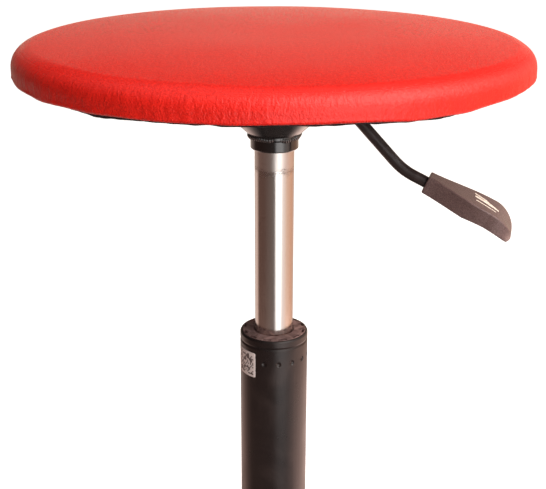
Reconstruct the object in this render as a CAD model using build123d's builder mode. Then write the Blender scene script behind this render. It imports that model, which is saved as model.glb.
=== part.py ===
from build123d import *
import math
import os

# Round swivel work stool on a gas spring: padded seat, release lever, telescopic column and
# a five-legged caster base.  Origin on the floor under the column, +Z up, lever towards +X.

os.makedirs("parts", exist_ok=True)

# Seat pad
seat_bottom = 555.0  # height of the pad's lower edge above the floor
seat_diameter = 350.0
seat_rim_height = 18.7  # lower edge up to where the side rolls over into the top
seat_crown = 5.0  # how much higher the middle of the pad is than its rim
seat_flat_radius = 60.0
rim_rounding = 12.9
edge_rounding = 1.9
cover_thickness = 1.2
hem_width = 25.0
board_thickness = 12.0
board_inset = 7.0
dust_cover_thickness = 0.8
staple_count = 24
staple_width = 10.0
staple_wire = 0.6
staple_depth = 6.0

# Seat plate with its cup and bell mouth
plate_size = 150.0
plate_thickness = 2.5
plate_corner = 14.0
bolt_spacing = 118.0
bolt_diameter = 6.0
bolt_clearance = 0.3
washer_thickness = 1.2
cup_depth = 29.0  # pad's lower edge down to the underside of the cup
cup_floor_radius = 48.0
cup_mouth_radius = 54.0
bell_bottom = 46.4  # pad's lower edge down to the lip of the bell mouth
bell_lip_wall = 1.9
bell_shoulder_radius = 37.6

# Gas spring
gas_taper = math.tan(math.radians(1 + 26 / 60 + 16 / 3600))  # standard column taper
socket_drop = 57.4  # pad's lower edge down to the socket's rim
socket_wall = 2.9
cylinder_diameter = 28.0
cylinder_wall = 2.0
cylinder_length = 329.0
cone_length = 40.0
cone_below_socket = 1.4  # how far the cone starts above the socket's rim
visible_cylinder = 138.0  # socket rim down to the top of the guide bush
raise_travel = 62.0
working_tube_gap = 1.0
working_tube_wall = 0.8
rod_diameter = 10.0
rod_neck_diameter = 8.0
rod_guide_height = 23.5
piston_height = 18.0
piston_margin = 3.0  # piston to rod guide with the seat fully raised
valve_height = 42.5
release_pin_diameter = 6.0
release_pin_rise = 6.0
release_travel = 3.6

# Column
tube_diameter = 50.0
tube_wall = 1.5
tube_below_hub = 8.0
tube_floor = 3.0
tube_cone_length = 70.0
bush_length = 74.6
bush_slot_count = 12
bush_slot_width = 2.1
dimple_count = 15
dimple_drop = 18.6
dimple_radius = 2.9
dimple_depth = 0.9

# Thrust bearing under the rod's shoulder
ball_diameter = 4.0
ball_count = 12
ball_circle_radius = 9.5
race_thickness = 2.0
race_radius = 13.0
race_gap = 3.2
race_play = 0.05

# Lever
lever_rod_diameter = 8.0
lever_slope = 46.5  # degrees below level, from the cup to the bend
handle_slope = 24.7  # degrees below level, from the bend to the tip
lever_bend = (90.6, -67.2)  # bend: distance from the column and height over the pad's edge
pivot_reach = 41.5
pin_gap = 0.3
lever_tail = 9.0
lever_elbow_radius = 14.0
lever_bend_radius = 45.0
handle_length = 68.5
handle_neck_width = 13.5
handle_width = 34.4
handle_thickness = 12.8
handle_rise = 6.6  # middle of the rod up to the handle's flat top
handle_start = 18.2  # bend to the handle's inner end, along the rod
handle_rounding = 1.0
rod_in_handle = 28.0

# Base and casters
leg_count = 5
first_leg_heading = -76.0
caster_circle_radius = 240.0
caster_headroom = 8.0  # top of the wheels to the underside of a leg's tip
hub_height = 60.0
hub_wall = 6.5
sleeve_wall = 3.0
leg_root_width = 44.0
leg_tip_width = 29.0
leg_root_height = 44.0
leg_tip_height = 22.0
leg_root_lift = 10.0
hub_lift = 2.0
leg_wall = 3.0
rib_thickness = 3.0
wheel_diameter = 50.0
wheel_width = 16.4
web_thickness = 12.0
wheel_gap = 0.6
fender_wall = 3.0
fender_gap = 1.8
caster_trail = 18.0
axle_diameter = 6.0
stem_diameter = 10.8
stem_neck_diameter = 8.0
stem_collar_thickness = 1.5
stem_depth = 19.0
caster_headings = [-38.0, 52.0, 121.0, -164.0, 17.0]

# Clearances
running_fit = 0.05
slide_fit = 0.1

# Heights and radii that follow from the sizes above
leg_tip_bottom = wheel_diameter + caster_headroom
leg_tip_top = leg_tip_bottom + leg_tip_height
leg_root_bottom = leg_tip_bottom + leg_root_lift
leg_root_top = leg_root_bottom + leg_root_height
hub_bottom = leg_tip_bottom + hub_lift
hub_top = hub_bottom + hub_height
tube_bottom = hub_bottom - tube_below_hub
tube_radius = tube_diameter / 2
tube_bore = tube_radius - tube_wall
sleeve_radius = tube_radius + sleeve_wall
hub_radius = sleeve_radius + hub_wall
socket_rim = seat_bottom - socket_drop
column_top = socket_rim - visible_cylinder
cone_start = socket_rim + cone_below_socket
cylinder_top = cone_start + cone_length
cylinder_bottom = cylinder_top - cylinder_length
cylinder_radius = cylinder_diameter / 2
plate_top = seat_bottom + cover_thickness - dust_cover_thickness
plate_bottom = plate_top - plate_thickness
board_bottom = seat_bottom + cover_thickness
board_top = board_bottom + board_thickness
board_radius = seat_diameter / 2 - board_inset
pin_top = cylinder_top + release_pin_rise


def save(piece, name):
    """Labels a finished piece and writes it as one STEP file."""
    piece.part.label = name
    export_step(piece.part, f"parts/{name}.step")


def turned(points):
    """A piece turned about Z from a closed outline of (radius, height) points."""
    with BuildPart() as piece:
        with BuildSketch(Plane.XZ):
            with BuildLine():
                Polyline(*points, close=True)
            make_face()
        revolve(axis=Axis.Z)
    return piece


def ring(inner, outer, low, high):
    """A plain ring about Z."""
    return turned([(inner, low), (outer, low), (outer, high), (inner, high)])


# ------------------------------------------------------------------ seat pad
def pad_outline(inset):
    """Half section of the pad, set in from the outer skin by inset."""
    radius = seat_diameter / 2 - inset
    low = seat_bottom + inset
    rim = seat_bottom + seat_rim_height - inset
    top = rim + seat_crown
    roll = rim_rounding - inset
    edge = max(edge_rounding - inset, 0.5)
    with BuildLine() as outline:
        Line((0, low), (radius - edge, low))
        RadiusArc((radius - edge, low), (radius, low + edge), -edge)
        Line((radius, low + edge), (radius, rim - roll))
        RadiusArc((radius, rim - roll), (radius - roll, rim), -roll)
        Spline(
            (radius - roll, rim),
            (seat_flat_radius, top),
            tangents=((-1, 0.12), (-1, 0)),
        )
        Line((seat_flat_radius, top), (0, top))
        Line((0, top), (0, low))
    return outline


outer_outline = pad_outline(0)
inner_outline = pad_outline(cover_thickness)
hem_inner = seat_diameter / 2 - hem_width

with BuildPart() as seat_cover:
    with BuildSketch(Plane.XZ):
        with BuildLine():
            add(outer_outline.line)
        make_face()
        with BuildLine():
            add(inner_outline.line)
        make_face(mode=Mode.SUBTRACT)
        with Locations((hem_inner / 2, seat_bottom + cover_thickness / 2)):
            Rectangle(hem_inner, cover_thickness, mode=Mode.SUBTRACT)
    revolve(axis=Axis.Z)
save(seat_cover, "seat_cover")

with BuildPart() as seat_foam:
    with BuildSketch(Plane.XZ):
        with BuildLine():
            add(inner_outline.line)
        make_face()
        with Locations((board_radius / 2, (board_bottom + board_top) / 2)):
            Rectangle(board_radius, board_thickness, mode=Mode.SUBTRACT)
    revolve(axis=Axis.Z)
save(seat_foam, "seat_foam")

bolt_radius = bolt_diameter / 2
tee_barrel_radius = bolt_radius + 1.1
tee_flange_radius = 9.0
tee_flange_thickness = 1.4
tee_barrel_length = 9.0

with BuildPart() as seat_board:
    with BuildSketch(Plane.XY.offset(board_bottom)):
        Circle(board_radius)
    extrude(amount=board_thickness)
    with BuildSketch(Plane.XY.offset(board_bottom)):
        with GridLocations(bolt_spacing, bolt_spacing, 2, 2):
            Circle(tee_barrel_radius)
    extrude(amount=board_thickness, mode=Mode.SUBTRACT)
    with BuildSketch(Plane.XY.offset(board_top - tee_flange_thickness)):
        with GridLocations(bolt_spacing, bolt_spacing, 2, 2):
            Circle(tee_flange_radius)
    extrude(amount=tee_flange_thickness, mode=Mode.SUBTRACT)
save(seat_board, "seat_board")

with BuildPart() as tee_nuts:
    with BuildSketch(Plane.XY.offset(board_top - tee_flange_thickness)):
        with GridLocations(bolt_spacing, bolt_spacing, 2, 2):
            Circle(tee_flange_radius)
    extrude(amount=tee_flange_thickness)
    with BuildSketch(Plane.XY.offset(board_top - tee_barrel_length)):
        with GridLocations(bolt_spacing, bolt_spacing, 2, 2):
            Circle(tee_barrel_radius)
    extrude(amount=tee_barrel_length)
    with BuildSketch(Plane.XY.offset(board_bottom)):
        with GridLocations(bolt_spacing, bolt_spacing, 2, 2):
            Circle(bolt_radius)
    extrude(amount=board_thickness, mode=Mode.SUBTRACT)
save(tee_nuts, "tee_nuts")

dust_cover_radius = hem_inner + hem_width / 2
dust_step = hem_inner - 2
with BuildPart() as dust_cover:
    with BuildSketch(Plane.XZ):
        with BuildLine():
            Polyline(
                (0, plate_top),
                (dust_step - dust_cover_thickness, plate_top),
                (dust_step - dust_cover_thickness, seat_bottom - dust_cover_thickness),
                (dust_cover_radius, seat_bottom - dust_cover_thickness),
                (dust_cover_radius, seat_bottom),
                (dust_step, seat_bottom),
                (dust_step, board_bottom),
                (0, board_bottom),
                close=True,
            )
        make_face()
    revolve(axis=Axis.Z)
    with BuildSketch(Plane.XY.offset(seat_bottom - dust_cover_thickness)):
        with GridLocations(bolt_spacing, bolt_spacing, 2, 2):
            Circle(bolt_radius)
    extrude(amount=cover_thickness + dust_cover_thickness, mode=Mode.SUBTRACT)
save(dust_cover, "dust_cover")

staple_circle = (dust_step + dust_cover_radius) / 2 + 1
staple_crown = seat_bottom - dust_cover_thickness - staple_wire
with BuildPart() as staples:
    with BuildSketch(Plane.XY.offset(staple_crown)):
        with PolarLocations(staple_circle, staple_count):
            Rectangle(staple_wire, staple_width)
    extrude(amount=staple_wire)
    leg_turn = math.degrees((staple_width - staple_wire) / 2 / staple_circle)
    for side in (-leg_turn, leg_turn):
        with BuildSketch(Plane.XY.offset(staple_crown + staple_wire / 2)):
            with PolarLocations(staple_circle, staple_count, start_angle=side):
                Rectangle(staple_wire, staple_wire)
        extrude(amount=staple_depth)
save(staples, "staples")

# ------------------------------------------------------------------ seat plate
cup_floor = seat_bottom - cup_depth
cup_floor_top = cup_floor + plate_thickness
bell_lip = seat_bottom - bell_bottom
socket_radius = cylinder_radius + socket_wall
bell_lip_radius = socket_radius + bell_lip_wall
bell_rise = (bell_bottom - cup_depth) / (bell_shoulder_radius - bell_lip_radius)
bell_offset = plate_thickness * math.sqrt(1 + bell_rise**2)
bell_inner_low = bell_lip + bell_offset - bell_rise * (bell_lip_radius - socket_radius)
bell_inner_radius = socket_radius + (cup_floor_top - bell_inner_low) / bell_rise
cup_lip_radius = cup_mouth_radius + plate_thickness

with BuildPart() as seat_plate:
    with BuildSketch(Plane.XZ):
        with BuildLine():
            Polyline(
                (socket_radius, bell_lip),
                (bell_lip_radius, bell_lip),
                (bell_shoulder_radius, cup_floor),
                (cup_floor_radius + plate_thickness, cup_floor),
                (cup_lip_radius, plate_bottom),
                (cup_lip_radius + 5, plate_bottom),
                (cup_lip_radius + 5, plate_top),
                (cup_mouth_radius, plate_top),
                (cup_floor_radius, cup_floor_top),
                (bell_inner_radius, cup_floor_top),
                (socket_radius, bell_inner_low),
                close=True,
            )
        make_face()
    revolve(axis=Axis.Z)
    with BuildSketch(Plane.XY.offset(plate_bottom)):
        RectangleRounded(plate_size, plate_size, plate_corner)
        Circle(cup_lip_radius + 4, mode=Mode.SUBTRACT)
    extrude(amount=plate_thickness)
    with BuildSketch(Plane.XY.offset(plate_bottom)):
        with GridLocations(bolt_spacing, bolt_spacing, 2, 2):
            Circle(bolt_radius + bolt_clearance)
    extrude(amount=plate_thickness, mode=Mode.SUBTRACT)
    with BuildSketch(Plane.XY.offset(cup_floor - 3)):
        with Locations((cup_floor_radius + 4, 0)):
            Rectangle(16, lever_rod_diameter + 4)
    extrude(amount=18, mode=Mode.SUBTRACT)
save(seat_plate, "seat_plate")

screw_head_radius = 5.2
screw_head_height = 4.0
washer_radius = 7.5
screw_head_top = plate_bottom - washer_thickness
with BuildPart() as seat_washers:
    with BuildSketch(Plane.XY.offset(screw_head_top)):
        with GridLocations(bolt_spacing, bolt_spacing, 2, 2):
            Circle(washer_radius)
            Circle(bolt_radius + bolt_clearance, mode=Mode.SUBTRACT)
    extrude(amount=washer_thickness)
save(seat_washers, "seat_washers")

with BuildPart() as seat_screws:
    with BuildSketch(Plane.XY.offset(screw_head_top - screw_head_height)):
        with GridLocations(bolt_spacing, bolt_spacing, 2, 2):
            RegularPolygon(screw_head_radius, 6)
    extrude(amount=screw_head_height)
    with BuildSketch(Plane.XY.offset(screw_head_top)):
        with GridLocations(bolt_spacing, bolt_spacing, 2, 2):
            Circle(bolt_radius)
    extrude(amount=board_top - 1 - screw_head_top)
save(seat_screws, "seat_screws")


def cone_radius(height):
    """Radius of the gas spring's upper cone at a height."""
    return cylinder_radius - (height - cone_start) * gas_taper


socket_top = cylinder_top - 3
weld_radius = socket_radius + 1.7
taper_socket = turned(
    [
        (cone_radius(socket_rim), socket_rim),
        (socket_radius - 0.8, socket_rim),
        (socket_radius, socket_rim + 0.8),
        (socket_radius, bell_lip - 3.2),
        (weld_radius, bell_lip - 1.8),
        (weld_radius, bell_lip),
        (socket_radius, bell_lip),
        (socket_radius, socket_top),
        (cone_radius(socket_top), socket_top),
    ]
)
save(taper_socket, "taper_socket")

# ------------------------------------------------------------------ gas spring
bore_radius = cylinder_radius - cylinder_wall
lip = 1.5
inner_cylinder = turned(
    [
        (bore_radius - 2, cylinder_bottom),
        (cylinder_radius - 1, cylinder_bottom),
        (cylinder_radius, cylinder_bottom + 1),
        (cylinder_radius, cone_start),
        (cone_radius(cylinder_top), cylinder_top),
        (bore_radius - 4, cylinder_top),
        (bore_radius - 4, cylinder_top - lip),
        (bore_radius, cylinder_top - lip),
        (bore_radius, cylinder_bottom + lip),
        (bore_radius - 2, cylinder_bottom + lip),
    ]
)
save(inner_cylinder, "inner_cylinder")

rod_radius = rod_diameter / 2
neck_radius = rod_neck_diameter / 2
guide_bottom = cylinder_bottom + lip
guide_top = guide_bottom + rod_guide_height
seal_depth = 6.0
seal_radius = bore_radius - 3.1
rod_guide = turned(
    [
        (rod_radius + running_fit, guide_bottom),
        (bore_radius, guide_bottom),
        (bore_radius, guide_top),
        (seal_radius, guide_top),
        (seal_radius, guide_top - seal_depth),
        (rod_radius + running_fit, guide_top - seal_depth),
    ]
)
save(rod_guide, "rod_guide")

rod_seal = ring(rod_radius + running_fit, seal_radius, guide_top - seal_depth, guide_top)
save(rod_seal, "rod_seal")

valve_bottom = cylinder_top - lip - valve_height
valve_top = cylinder_top - lip
working_radius = bore_radius - working_tube_gap - working_tube_wall
working_tube = ring(working_radius, working_radius + working_tube_wall, guide_top, valve_bottom)
save(working_tube, "working_tube")

pin_radius = release_pin_diameter / 2
poppet_radius = pin_radius + 1.5
poppet_height = 4.0
chamber_top = valve_bottom + poppet_height + release_travel + 1.4
valve_body = turned(
    [
        (poppet_radius + 0.5, valve_bottom),
        (bore_radius, valve_bottom),
        (bore_radius, valve_top),
        (pin_radius + running_fit, valve_top),
        (pin_radius + running_fit, chamber_top),
        (poppet_radius + 0.5, chamber_top),
    ]
)
save(valve_body, "valve_body")

release_pin = turned(
    [
        (0, chamber_top - poppet_height),
        (poppet_radius - 0.5, chamber_top - poppet_height),
        (poppet_radius, chamber_top - poppet_height + 0.5),
        (poppet_radius, chamber_top),
        (pin_radius, chamber_top),
        (pin_radius, pin_top - 1),
        (pin_radius - 1, pin_top),
        (0, pin_top),
    ]
)
save(release_pin, "release_pin")

# ------------------------------------------------------------------ rod, piston and bearing
race_bottom = tube_bottom + tube_floor
race_mid = race_bottom + race_thickness + race_gap / 2
upper_race_bottom = race_bottom + race_thickness + race_gap
shoulder = upper_race_bottom + race_thickness
piston_bottom = guide_top + raise_travel + piston_margin
piston_top = piston_bottom + piston_height
rod_end = tube_bottom - 6
end_washer_thickness = 2.0
end_gap = 0.1
clip_thickness = 1.0
clip_top = tube_bottom - end_gap - end_washer_thickness
groove_radius = neck_radius - 0.6

piston_rod = turned(
    [
        (0, rod_end),
        (neck_radius - 0.6, rod_end),
        (neck_radius, rod_end + 0.6),
        (neck_radius, clip_top - clip_thickness),
        (groove_radius, clip_top - clip_thickness),
        (groove_radius, clip_top),
        (neck_radius, clip_top),
        (neck_radius, shoulder),
        (rod_radius, shoulder),
        (rod_radius, piston_bottom),
        (neck_radius, piston_bottom),
        (neck_radius, piston_top),
        (neck_radius + 2, piston_top),
        (neck_radius + 1.4, piston_top + 2.5),
        (0, piston_top + 2.5),
    ]
)
save(piston_rod, "piston_rod")

piston_radius = working_radius - slide_fit
ring_low = piston_bottom + 7
ring_high = ring_low + 3
piston = turned(
    [
        (neck_radius, piston_bottom),
        (piston_radius, piston_bottom),
        (piston_radius, ring_low),
        (piston_radius - 1.5, ring_low),
        (piston_radius - 1.5, ring_high),
        (piston_radius, ring_high),
        (piston_radius, piston_top),
        (neck_radius, piston_top),
    ]
)
save(piston, "piston")

piston_ring = ring(piston_radius - 1.5, working_radius - running_fit, ring_low, ring_high)
save(piston_ring, "piston_ring")

bump_stop = turned(
    [
        (rod_radius, shoulder),
        (rod_radius + 7, shoulder),
        (rod_radius + 5, shoulder + 6),
        (rod_radius + 6, shoulder + 9),
        (rod_radius + 3.5, shoulder + 12),
        (rod_radius, shoulder + 12),
    ]
)
save(bump_stop, "bump_stop")

ball_radius = ball_diameter / 2


def race(inner, low):
    """A flat race washer with a ball groove in the face towards the balls."""
    with BuildPart() as washer:
        with BuildSketch(Plane.XZ):
            with Locations(((inner + race_radius) / 2, low + race_thickness / 2)):
                Rectangle(race_radius - inner, race_thickness)
            with Locations((ball_circle_radius, race_mid)):
                Circle(ball_radius + race_play, mode=Mode.SUBTRACT)
        revolve(axis=Axis.Z)
    return washer


bearing_lower_race = race(6.5, race_bottom)
save(bearing_lower_race, "bearing_lower_race")

bearing_upper_race = race(neck_radius, upper_race_bottom)
save(bearing_upper_race, "bearing_upper_race")

with BuildPart(Plane.XY.offset(race_mid)) as bearing_balls:
    with PolarLocations(ball_circle_radius, ball_count):
        Sphere(ball_radius)
save(bearing_balls, "bearing_balls")

cage_thickness = 1.2
with BuildPart() as ball_cage:
    with BuildSketch(Plane.XY.offset(race_mid - cage_thickness / 2)):
        Circle(race_radius - 0.6)
        Circle(6.4, mode=Mode.SUBTRACT)
    extrude(amount=cage_thickness)
    add(bearing_balls.part, mode=Mode.SUBTRACT)
save(ball_cage, "ball_cage")

end_washer = ring(neck_radius, 9, clip_top, clip_top + end_washer_thickness)
save(end_washer, "end_washer")

with BuildPart() as retaining_clip:
    with BuildSketch(Plane.XY.offset(clip_top - clip_thickness)):
        Circle(6.5)
        Circle(groove_radius, mode=Mode.SUBTRACT)
        with Locations((0, -5)):
            Rectangle(3, 10, mode=Mode.SUBTRACT)
    extrude(amount=clip_thickness)
save(retaining_clip, "retaining_clip")

# ------------------------------------------------------------------ column
tube_cone_top = tube_bottom + tube_cone_length


def column_radius(height):
    """Outer radius of the column's lower cone at a height."""
    return tube_radius - (tube_cone_top - height) * gas_taper


groove_height = column_top - 6.8
with BuildPart() as outer_tube:
    with BuildSketch(Plane.XZ):
        with BuildLine():
            Polyline(
                (6, tube_bottom),
                (column_radius(tube_bottom), tube_bottom),
                (tube_radius, tube_cone_top),
                (tube_radius, groove_height - 1.4),
                (tube_radius - 0.5, groove_height),
                (tube_radius, groove_height + 1.4),
                (tube_radius, column_top - 1.8),
                (tube_radius - 0.6, column_top - 0.7),
                (tube_bore + 0.2, column_top - 0.4),
                (tube_bore, column_top - 0.6),
                (tube_bore, tube_cone_top),
                (column_radius(race_bottom) - tube_wall, race_bottom),
                (6, race_bottom),
                close=True,
            )
        make_face()
    revolve(axis=Axis.Z)
    with Locations((0, 0, column_top - dimple_drop)):
        with PolarLocations(tube_radius + dimple_radius - dimple_depth, dimple_count, start_angle=4):
            Sphere(dimple_radius, mode=Mode.SUBTRACT)
save(outer_tube, "outer_tube")

bush_bottom = column_top - bush_length
with BuildPart() as guide_bush:
    with BuildSketch(Plane.XZ):
        with BuildLine():
            Polyline(
                (cylinder_radius + slide_fit, bush_bottom),
                (tube_bore - 1, bush_bottom),
                (tube_bore, bush_bottom + 2),
                (tube_bore, column_top - 0.6),
                (tube_bore - 0.5, column_top),
                (cylinder_radius + slide_fit + 1, column_top),
                (cylinder_radius + slide_fit, column_top - 1),
                close=True,
            )
        make_face()
    revolve(axis=Axis.Z)
    with BuildSketch(Plane.XY.offset(column_top - 7)):
        with PolarLocations(tube_bore - 0.5 - bush_slot_width / 2, bush_slot_count, start_angle=1):
            Rectangle(bush_slot_width, 6.4)
    extrude(amount=7, mode=Mode.SUBTRACT)
save(guide_bush, "guide_bush")

# ------------------------------------------------------------------ lever
slope = math.tan(math.radians(lever_slope))
bend_x, bend_drop = lever_bend
bend_z = seat_bottom + bend_drop
lever_rod_radius = lever_rod_diameter / 2
tail_z = pin_top + pin_gap + lever_rod_radius
elbow_x = bend_x - (tail_z - bend_z) / slope
pivot_z = bend_z + slope * (bend_x - pivot_reach)
tip_direction = Vector(
    math.cos(math.radians(handle_slope)), 0, -math.sin(math.radians(handle_slope))
)
up_direction = Vector(
    math.sin(math.radians(handle_slope)), 0, math.cos(math.radians(handle_slope))
)
bend_point = Vector(bend_x, 0, bend_z)
handle_mouth = bend_point + tip_direction * handle_start
rod_tip = bend_point + tip_direction * (handle_start + rod_in_handle)

with BuildPart() as lever_rod:
    with BuildLine() as lever_path:
        FilletPolyline(
            (-lever_tail, 0, tail_z),
            (elbow_x, 0, tail_z),
            (bend_x, 0, bend_z),
            tuple(rod_tip),
            radius=[lever_elbow_radius, lever_bend_radius],
        )
    with BuildSketch(Plane(origin=(-lever_tail, 0, tail_z), z_dir=(1, 0, 0))):
        Circle(lever_rod_radius)
    sweep(path=lever_path.line)

pivot_radius = 6.0
journal_radius = 3.0
ear_gap = 8.0
ear_thickness = 2.0
clip_offset = ear_gap + ear_thickness + 0.3
pivot_plane = Plane(origin=(pivot_reach, 0, pivot_z), x_dir=(1, 0, 0), z_dir=(0, -1, 0))
with BuildPart() as lever_pivot:
    with BuildSketch(pivot_plane):
        Circle(pivot_radius)
    extrude(amount=ear_gap - 0.2, both=True)
    with BuildSketch(pivot_plane):
        Circle(journal_radius)
    extrude(amount=clip_offset + 1.8, both=True)
    for side in (-1, 1):
        with BuildSketch(pivot_plane.offset(side * clip_offset)):
            Circle(journal_radius)
            Circle(journal_radius - 0.6, mode=Mode.SUBTRACT)
        extrude(amount=side * 0.8, mode=Mode.SUBTRACT)
    add(lever_rod.part, mode=Mode.SUBTRACT)
save(lever_rod, "lever_rod")
save(lever_pivot, "lever_pivot")

with BuildPart() as pivot_clips:
    for side in (-1, 1):
        with BuildSketch(pivot_plane.offset(side * clip_offset)):
            Circle(journal_radius + 2)
            Circle(journal_radius - 0.6, mode=Mode.SUBTRACT)
            with Locations((0, 4)):
                Rectangle(2.4, 6, mode=Mode.SUBTRACT)
        extrude(amount=side * 0.8)
save(pivot_clips, "pivot_clips")

ear_radius = 7.5
with BuildPart() as lever_bracket:
    with BuildSketch(Plane(origin=(0, 0, 0), x_dir=(1, 0, 0), z_dir=(0, -1, 0))):
        with Locations((pivot_reach, pivot_z)):
            Circle(ear_radius)
        with Locations((pivot_reach - 0.5, (cup_floor_top + pivot_z) / 2)):
            Rectangle(9.0, pivot_z - cup_floor_top)
        with Locations((pivot_reach, pivot_z)):
            Circle(journal_radius + running_fit, mode=Mode.SUBTRACT)
    extrude(amount=ear_gap + ear_thickness, both=True)
    with BuildSketch(Plane.XY.offset(cup_floor_top + ear_thickness)):
        with Locations((pivot_reach, 0)):
            Rectangle(4 * ear_radius, 2 * ear_gap)
    extrude(amount=4 * ear_radius, mode=Mode.SUBTRACT)
    with BuildSketch(Plane.XY.offset(cup_floor_top)):
        with Locations((pivot_reach + 1, 0)):
            Rectangle(ear_radius, 2 * ear_gap, align=(Align.MIN, Align.CENTER))
    extrude(amount=ear_thickness, mode=Mode.SUBTRACT)
save(lever_bracket, "lever_bracket")

handle_top = handle_mouth + up_direction * handle_rise
handle_plan = Plane(origin=handle_top, x_dir=tip_direction, z_dir=up_direction)
handle_side = Plane(origin=handle_top, x_dir=tip_direction, z_dir=(0, -1, 0))
nose_edge = (handle_length, -1.1 * handle_thickness)
nose_bottom = (0.96 * handle_length, -1.24 * handle_thickness)
with BuildPart() as lever_handle:
    with BuildSketch(handle_plan):
        with BuildLine():
            Line((0, handle_neck_width / 2), (0, -handle_neck_width / 2))
            for side in (-1, 1):
                Spline(
                    (0, side * handle_neck_width / 2),
                    (0.26 * handle_length, side * 0.32 * handle_width),
                    (0.52 * handle_length, side * 0.47 * handle_width),
                    (0.69 * handle_length, side * handle_width / 2),
                )
            ThreePointArc(
                (0.69 * handle_length, -handle_width / 2),
                (handle_length, 0),
                (0.69 * handle_length, handle_width / 2),
            )
        make_face()
    extrude(amount=-2 * handle_thickness)
    with BuildSketch(handle_side):
        with BuildLine():
            Line((0, -handle_thickness), (0, 0))
            Line((0, 0), (0.66 * handle_length, 0))
            Spline(
                (0.66 * handle_length, 0),
                (0.82 * handle_length, -0.11 * handle_thickness),
                (0.92 * handle_length, -0.4 * handle_thickness),
                nose_edge,
                tangents=((1, 0), (0.3, -1)),
            )
            Line(nose_edge, nose_bottom)
            Spline(
                nose_bottom,
                (0.79 * handle_length, -0.92 * handle_thickness),
                (0.66 * handle_length, -0.88 * handle_thickness),
                (0.46 * handle_length, -handle_thickness),
            )
            Line((0.46 * handle_length, -handle_thickness), (0, -handle_thickness))
        make_face()
    extrude(amount=handle_width, both=True, mode=Mode.INTERSECT)
    fillet(lever_handle.edges(), handle_rounding)
    with BuildSketch(Plane(origin=rod_tip, z_dir=tip_direction)):
        Circle(lever_rod_radius)
    extrude(amount=-2 * rod_in_handle, mode=Mode.SUBTRACT)
save(lever_handle, "lever_handle")

# ------------------------------------------------------------------ base
leg_end = caster_circle_radius + leg_tip_width / 2
leg_start = sleeve_radius + 1


def leg_blank(inset, reach, foot):
    """One leg along +X without its pockets, set in by inset at the top and sides."""
    with BuildPart() as blank:
        with BuildSketch():
            with BuildLine():
                Polyline(
                    (leg_start, leg_root_width / 2 - inset),
                    (reach, leg_tip_width / 2 - inset),
                    (reach, -leg_tip_width / 2 + inset),
                    (leg_start, -leg_root_width / 2 + inset),
                    close=True,
                )
            make_face()
            if inset == 0:
                with Locations((reach, 0)):
                    Circle(leg_tip_width / 2)
        extrude(amount=leg_root_top)
        with BuildSketch(Plane.XZ):
            with BuildLine():
                Line((leg_start, foot), (leg_start, leg_root_top - inset))
                ThreePointArc(
                    (leg_start, leg_root_top - inset),
                    (0.6 * leg_end, 0.45 * leg_root_top + 0.55 * leg_tip_top - inset),
                    (leg_end, leg_tip_top - inset),
                )
                Line((leg_end, leg_tip_top - inset), (leg_end, min(foot, leg_tip_bottom)))
                Line((leg_end, min(foot, leg_tip_bottom)), (0.8 * leg_end, min(foot, leg_tip_bottom)))
                Line((0.8 * leg_end, min(foot, leg_tip_bottom)), (leg_start, foot))
            make_face()
        extrude(amount=leg_root_width, both=True, mode=Mode.INTERSECT)
    return blank


pocket_end = caster_circle_radius - stem_diameter - 4
pocket = leg_blank(leg_wall, pocket_end, 1)
with BuildPart() as leg_pockets:
    add(pocket.part)
    with BuildSketch():
        with Locations((leg_end / 2, 0)):
            Rectangle(leg_end, rib_thickness)
        for share in (0.3, 0.46, 0.62, 0.78):
            with Locations((share * caster_circle_radius, 0)):
                Rectangle(rib_thickness, leg_root_width)
    extrude(amount=leg_root_top, mode=Mode.SUBTRACT)

leg = leg_blank(0, caster_circle_radius, leg_root_bottom)
socket_bore = stem_diameter / 2 + slide_fit * 2
with BuildPart() as leg_shell:
    add(leg.part)
    fillet(leg_shell.faces().sort_by(Axis.Z)[-1].edges().filter_by(GeomType.LINE, reverse=True), 4.5)
    add(leg_pockets.part, mode=Mode.SUBTRACT)
    with BuildSketch(Plane.XY.offset(leg_tip_bottom)):
        with Locations((caster_circle_radius, 0)):
            Circle(socket_bore)
    extrude(amount=stem_depth + 0.5, mode=Mode.SUBTRACT)

with BuildPart() as base_star:
    with BuildSketch(Plane.XZ):
        with BuildLine():
            Polyline(
                (sleeve_radius, hub_bottom),
                (hub_radius, hub_bottom),
                (hub_radius - 1.5, hub_top - 2),
                (hub_radius - 3.5, hub_top),
                (sleeve_radius, hub_top),
                close=True,
            )
        make_face()
    revolve(axis=Axis.Z)
    with PolarLocations(0, leg_count, start_angle=first_leg_heading):
        add(leg_shell.part)
save(base_star, "base_star")

sleeve_bottom = hub_bottom - 2
sleeve_top = hub_top + 1
hub_sleeve = turned(
    [
        (column_radius(sleeve_bottom), sleeve_bottom),
        (sleeve_radius, sleeve_bottom),
        (sleeve_radius, sleeve_top),
        (column_radius(sleeve_top), sleeve_top),
    ]
)
save(hub_sleeve, "hub_sleeve")

# ------------------------------------------------------------------ casters
stem_radius = stem_diameter / 2
collar_bottom = leg_tip_bottom - stem_collar_thickness
hood_top = collar_bottom - 0.2
stem_bottom = hood_top - 20
ring_height = leg_tip_bottom + stem_depth - 6
with BuildPart() as caster_stem:
    with BuildSketch(Plane.XZ):
        with BuildLine():
            Polyline(
                (0, stem_bottom),
                (stem_neck_diameter / 2, stem_bottom),
                (stem_neck_diameter / 2, collar_bottom),
                (9, collar_bottom),
                (9, leg_tip_bottom),
                (stem_radius, leg_tip_bottom),
                (stem_radius, ring_height),
                (stem_radius - 0.8, ring_height),
                (stem_radius - 0.8, ring_height + 1.5),
                (stem_radius, ring_height + 1.5),
                (stem_radius, leg_tip_bottom + stem_depth - 1),
                (stem_radius - 1, leg_tip_bottom + stem_depth),
                (0, leg_tip_bottom + stem_depth),
                close=True,
            )
        make_face()
    revolve(axis=Axis.Z)

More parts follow.
